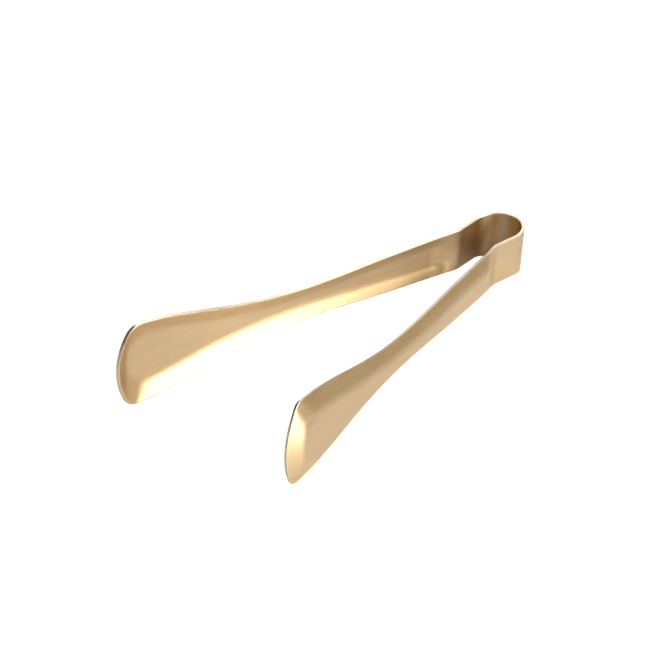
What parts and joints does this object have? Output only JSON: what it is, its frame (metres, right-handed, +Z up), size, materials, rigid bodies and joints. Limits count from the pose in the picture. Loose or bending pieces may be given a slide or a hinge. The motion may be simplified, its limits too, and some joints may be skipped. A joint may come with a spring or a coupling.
{
  "type": "ice tongs",
  "caption": "Spring ice tongs bent from one flat strip: keyhole-shaped bow, shallow channelled arms and broad dished blades with turned-in rims.",
  "frame": {"origin": "middle of the bounding box at the level of the table that the tongs stand on", "axes": "-X from the bow towards the blade tips, Y across the jaw with the right arm on +Y, +Z up from the table; the tongs' own middle line rises 2.4 degrees from bow to tips because the blades are taller than the bow"},
  "size_m": [0.1614, 0.073, 0.0296],
  "materials": {
    "gold_steel": "stainless steel, brushed along its length, with a thin gold coating"
  },
  "bodies": {
    "bow_crown": {"bow_crown": "gold_steel"},
    "bow_right_shoulder": {"bow_right_shoulder": "gold_steel"},
    "bow_right_side": {"bow_right_side": "gold_steel"},
    "bow_right_flank": {"bow_right_flank": "gold_steel"},
    "right_arm": {"right_arm": "gold_steel"},
    "bow_left_shoulder": {"bow_left_shoulder": "gold_steel"},
    "bow_left_side": {"bow_left_side": "gold_steel"},
    "bow_left_flank": {"bow_left_flank": "gold_steel"},
    "left_arm": {"left_arm": "gold_steel"}
  },
  "joints": [
    {"name": "right_flex_1", "type": "hinge", "parent": "bow_crown", "child": "bow_right_shoulder", "pos_m": [0.07921, 0.00306, 0.00844], "axis": [0.042, 0, 0.9991], "range_deg": [-0.75, 3], "stiffness_Nm_per_rad": 0.35},
    {"name": "right_flex_2", "type": "hinge", "parent": "bow_right_shoulder", "child": "bow_right_side", "pos_m": [0.07508, 0.00758, 0.00862], "axis": [0.042, 0, 0.9991], "range_deg": [-0.75, 3]},
    {"name": "right_flex_3", "type": "hinge", "parent": "bow_right_side", "child": "bow_right_flank", "pos_m": [0.06896, 0.00829, 0.00887], "axis": [0.042, 0, 0.9991], "range_deg": [-0.75, 3]},
    {"name": "right_flex_4", "type": "hinge", "parent": "bow_right_flank", "child": "right_arm", "pos_m": [0.06271, 0.0078, 0.00914], "axis": [0.042, 0, 0.9991], "range_deg": [-0.75, 3]},
    {"name": "left_flex_1", "type": "hinge", "parent": "bow_crown", "child": "bow_left_shoulder", "pos_m": [0.07921, -0.00306, 0.00844], "axis": [-0.042, 0, -0.9991], "range_deg": [-0.75, 3]},
    {"name": "left_flex_2", "type": "hinge", "parent": "bow_left_shoulder", "child": "bow_left_side", "pos_m": [0.07508, -0.00758, 0.00862], "axis": [-0.042, 0, -0.9991], "range_deg": [-0.75, 3]},
    {"name": "left_flex_3", "type": "hinge", "parent": "bow_left_side", "child": "bow_left_flank", "pos_m": [0.06896, -0.00829, 0.00887], "axis": [-0.042, 0, -0.9991], "range_deg": [-0.75, 3]},
    {"name": "left_flex_4", "type": "hinge", "parent": "bow_left_flank", "child": "left_arm", "pos_m": [0.06271, -0.0078, 0.00914], "axis": [-0.042, 0, -0.9991], "range_deg": [-0.75, 3]}
  ],
  "couplings": [
    {"joint": "right_flex_2", "follows": "right_flex_1", "ratio": 1},
    {"joint": "right_flex_3", "follows": "right_flex_1", "ratio": 1},
    {"joint": "right_flex_4", "follows": "right_flex_1", "ratio": 1},
    {"joint": "left_flex_1", "follows": "right_flex_1", "ratio": 1},
    {"joint": "left_flex_2", "follows": "right_flex_1", "ratio": 1},
    {"joint": "left_flex_3", "follows": "right_flex_1", "ratio": 1},
    {"joint": "left_flex_4", "follows": "right_flex_1", "ratio": 1}
  ]
}
